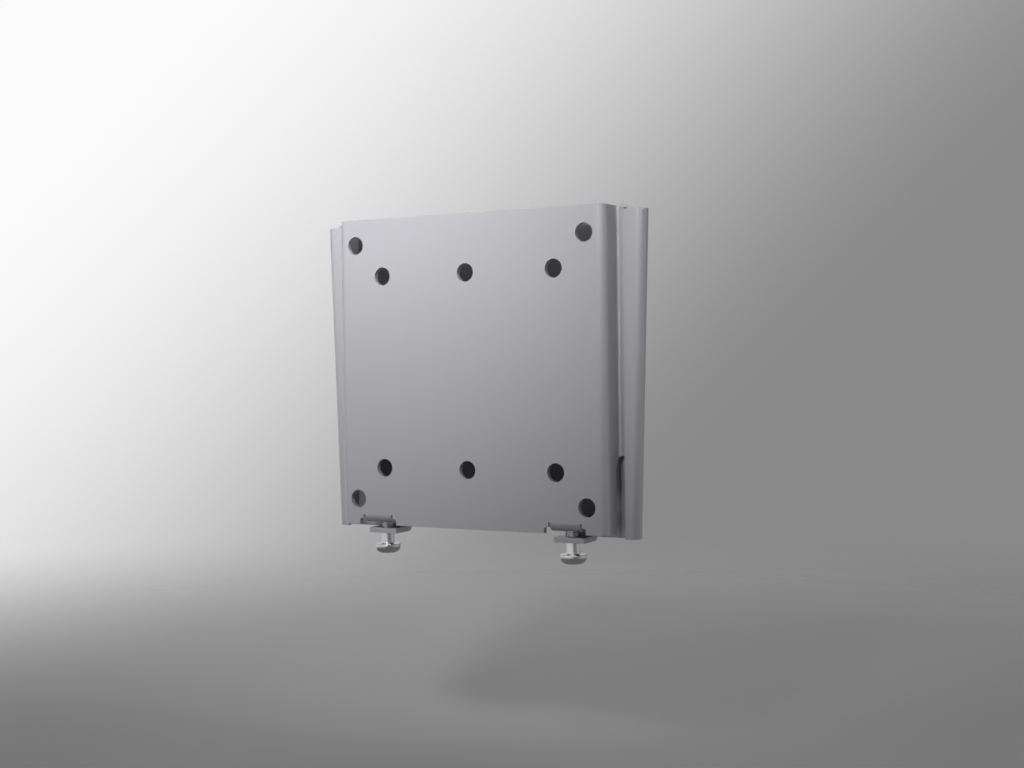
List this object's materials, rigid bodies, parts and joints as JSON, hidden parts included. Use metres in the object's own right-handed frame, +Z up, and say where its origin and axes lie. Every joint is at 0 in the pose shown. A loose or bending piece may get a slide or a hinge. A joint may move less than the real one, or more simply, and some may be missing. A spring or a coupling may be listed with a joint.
{
  "type": "fixed monitor wall mount",
  "caption": "Low-profile steel wall mount for a flat monitor: a folded monitor plate drops into the tapered channels of a wall plate and is locked by screws from below.",
  "frame": {"origin": "on the wall, behind the centre of the monitor plate's hole pattern", "axes": "+Y into the wall, so the monitor is on the -Y side; +Z up; +X to the right as seen by someone facing the wall"},
  "size_m": [0.14, 0.0154, 0.1322],
  "materials": {
    "plate_paint": "semi-gloss silver-grey paint on folded steel",
    "screw_zinc": "bright zinc plating"
  },
  "bodies": {
    "wall_plate": {"wall_plate": "plate_paint"},
    "monitor_plate": {"monitor_plate": "plate_paint"},
    "lock_screw_left": {"lock_screw_left": "screw_zinc"},
    "lock_screw_right": {"lock_screw_right": "screw_zinc"}
  },
  "joints": [
    {"name": "monitor_plate_lift", "type": "slide", "parent": "wall_plate", "child": "monitor_plate", "axis": [0, 0, 1], "range_m": [0, 0.1]},
    {"name": "lock_screw_left_turn_in", "type": "slide", "parent": "wall_plate", "child": "lock_screw_left", "axis": [0, 0, 1], "range_m": [-0.0082, 0.0044]},
    {"name": "lock_screw_right_turn_in", "type": "slide", "parent": "wall_plate", "child": "lock_screw_right", "axis": [0, 0, 1], "range_m": [-0.0082, 0.0044]}
  ]
}
